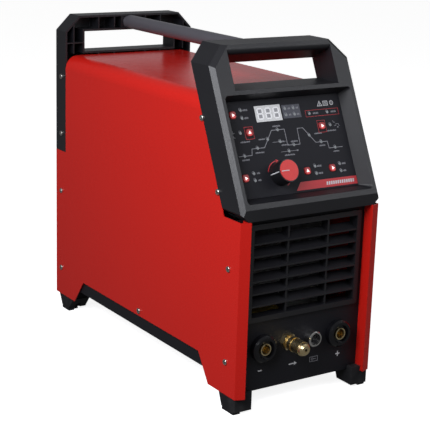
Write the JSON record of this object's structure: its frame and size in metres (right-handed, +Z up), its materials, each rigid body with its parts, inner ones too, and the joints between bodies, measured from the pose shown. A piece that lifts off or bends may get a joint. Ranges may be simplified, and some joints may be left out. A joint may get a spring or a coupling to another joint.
{
  "type": "tig welding machine",
  "caption": "Portable inverter TIG welding power source: red folded cover, sloped black control head, carry tube, welding sockets and gas outlet in front, fan and mains entry behind.",
  "frame": {"origin": "on the floor under the middle of the overall box", "axes": "+X to the right of someone facing the controls, +Y to the rear, +Z up"},
  "size_m": [0.2244, 0.552, 0.462],
  "materials": {
    "red_powder_coat": "gloss",
    "black_steel": "fine texture",
    "foot_rubber": "matte",
    "zinc_screw": "satin",
    "black_moulding": "fine texture",
    "grey_tube": "satin",
    "chromed_wire": "polished",
    "brass": "satin",
    "socket_insulator": "satin",
    "connector_chrome": "polished",
    "control_overlay": "satin film",
    "display_glass": "gloss",
    "indicator_lens": "gloss",
    "circuit_board": "satin",
    "knob_black": "satin",
    "knob_red": "satin",
    "zinc_sheet": "satin",
    "aluminium": "extruded",
    "capacitor_sleeve": "gloss",
    "ferrite": "matte",
    "winding_tape": "satin",
    "winding_copper": "enamelled",
    "gas_hose": "satin",
    "button_red": "satin"
  },
  "bodies": {
    "chassis": {"cover": "red_powder_coat", "base_tray": "black_steel", "front_feet": "foot_rubber", "rear_feet": "foot_rubber", "foot_screws": "zinc_screw", "front_panel": "black_steel", "louvre_grille": "black_moulding", "front_bezel": "black_moulding", "rear_frame": "black_moulding", "carry_tube": "grey_tube", "rear_panel": "black_steel", "fan_frame": "black_moulding", "fan_guard": "chromed_wire", "fan_screws": "zinc_screw", "mains_switch_body": "black_moulding", "cable_gland": "black_moulding", "gland_nut": "black_moulding", "gas_inlet": "brass", "earth_stud": "brass", "socket_collars": "socket_insulator", "socket_inserts": "brass", "socket_nuts": "brass", "gas_outlet": "brass", "torch_connector_shell": "connector_chrome", "torch_connector_insert": "black_moulding", "control_plate": "control_overlay", "display_window": "display_glass", "display_module": "black_moulding", "indicator_leds": "indicator_lens", "tact_switches": "black_moulding", "control_board": "circuit_board", "selector_encoder": "zinc_screw", "selector_nut": "zinc_screw", "tunnel_partition": "zinc_sheet", "heatsinks": "aluminium", "power_board": "circuit_board", "power_devices": "black_moulding", "capacitors": "capacitor_sleeve", "transformer_core": "ferrite", "transformer_winding": "winding_tape", "output_choke": "winding_copper", "arc_start_coil": "winding_copper", "gas_valve_body": "brass", "gas_valve_coil": "black_moulding", "gas_hose": "gas_hose", "side_screws": "zinc_screw"},
    "selector_push": {"selector_plunger": "zinc_screw"},
    "selector_knob": {"selector_shaft": "zinc_screw", "knob": "knob_black", "knob_cap": "knob_red"},
    "fan_rotor": {"fan_impeller": "black_moulding"},
    "mains_lever": {"mains_switch_lever": "black_moulding"},
    "valve_plunger": {"gas_valve_plunger": "zinc_screw"},
    "button_mode": {"button_mode": "button_red"},
    "button_trigger": {"button_trigger": "button_red"},
    "button_waveform": {"button_waveform": "button_red"},
    "button_start": {"button_start": "button_red"},
    "button_pulse": {"button_pulse": "button_red"},
    "button_memory": {"button_memory": "button_red"}
  },
  "joints": [
    {"name": "mode_press", "type": "slide", "parent": "chassis", "child": "button_mode", "axis": [0, 0.9048, -0.4258], "range_m": [0, 0.001], "stiffness_N_per_m": 400, "springref_m": -0.001},
    {"name": "trigger_press", "type": "slide", "parent": "chassis", "child": "button_trigger", "axis": [0, 0.9048, -0.4258], "range_m": [0, 0.001], "stiffness_N_per_m": 400, "springref_m": -0.001},
    {"name": "waveform_press", "type": "slide", "parent": "chassis", "child": "button_waveform", "axis": [0, 0.9048, -0.4258], "range_m": [0, 0.001], "stiffness_N_per_m": 400, "springref_m": -0.001},
    {"name": "start_press", "type": "slide", "parent": "chassis", "child": "button_start", "axis": [0, 0.9048, -0.4258], "range_m": [0, 0.001], "stiffness_N_per_m": 400, "springref_m": -0.001},
    {"name": "pulse_press", "type": "slide", "parent": "chassis", "child": "button_pulse", "axis": [0, 0.9048, -0.4258], "range_m": [0, 0.001], "stiffness_N_per_m": 400, "springref_m": -0.001},
    {"name": "memory_press", "type": "slide", "parent": "chassis", "child": "button_memory", "axis": [0, 0.9048, -0.4258], "range_m": [0, 0.001], "stiffness_N_per_m": 400, "springref_m": -0.001},
    {"name": "selector_push_slide", "type": "slide", "parent": "chassis", "child": "selector_push", "axis": [0, 0.9048, -0.4258], "range_m": [0, 0.0005], "stiffness_N_per_m": 1500, "springref_m": -0.0005},
    {"name": "selector_turn", "type": "hinge", "parent": "selector_push", "child": "selector_knob", "pos_m": [-0.0295, -0.22989, 0.31054], "axis": [0, -0.9048, 0.4258], "continuous": true},
    {"name": "fan_spin", "type": "hinge", "parent": "chassis", "child": "fan_rotor", "pos_m": [0, 0.23, 0.165], "axis": [0, 1, 0], "continuous": true},
    {"name": "mains_lever_tilt", "type": "hinge", "parent": "chassis", "child": "mains_lever", "pos_m": [-0.055, 0.247, 0.318], "axis": [1, 0, 0], "range_deg": [0, 26]},
    {"name": "valve_plunger_lift", "type": "slide", "parent": "chassis", "child": "valve_plunger", "axis": [0, 0, 1], "range_m": [0, 0.002], "stiffness_N_per_m": 400, "springref_m": -0.001}
  ]
}
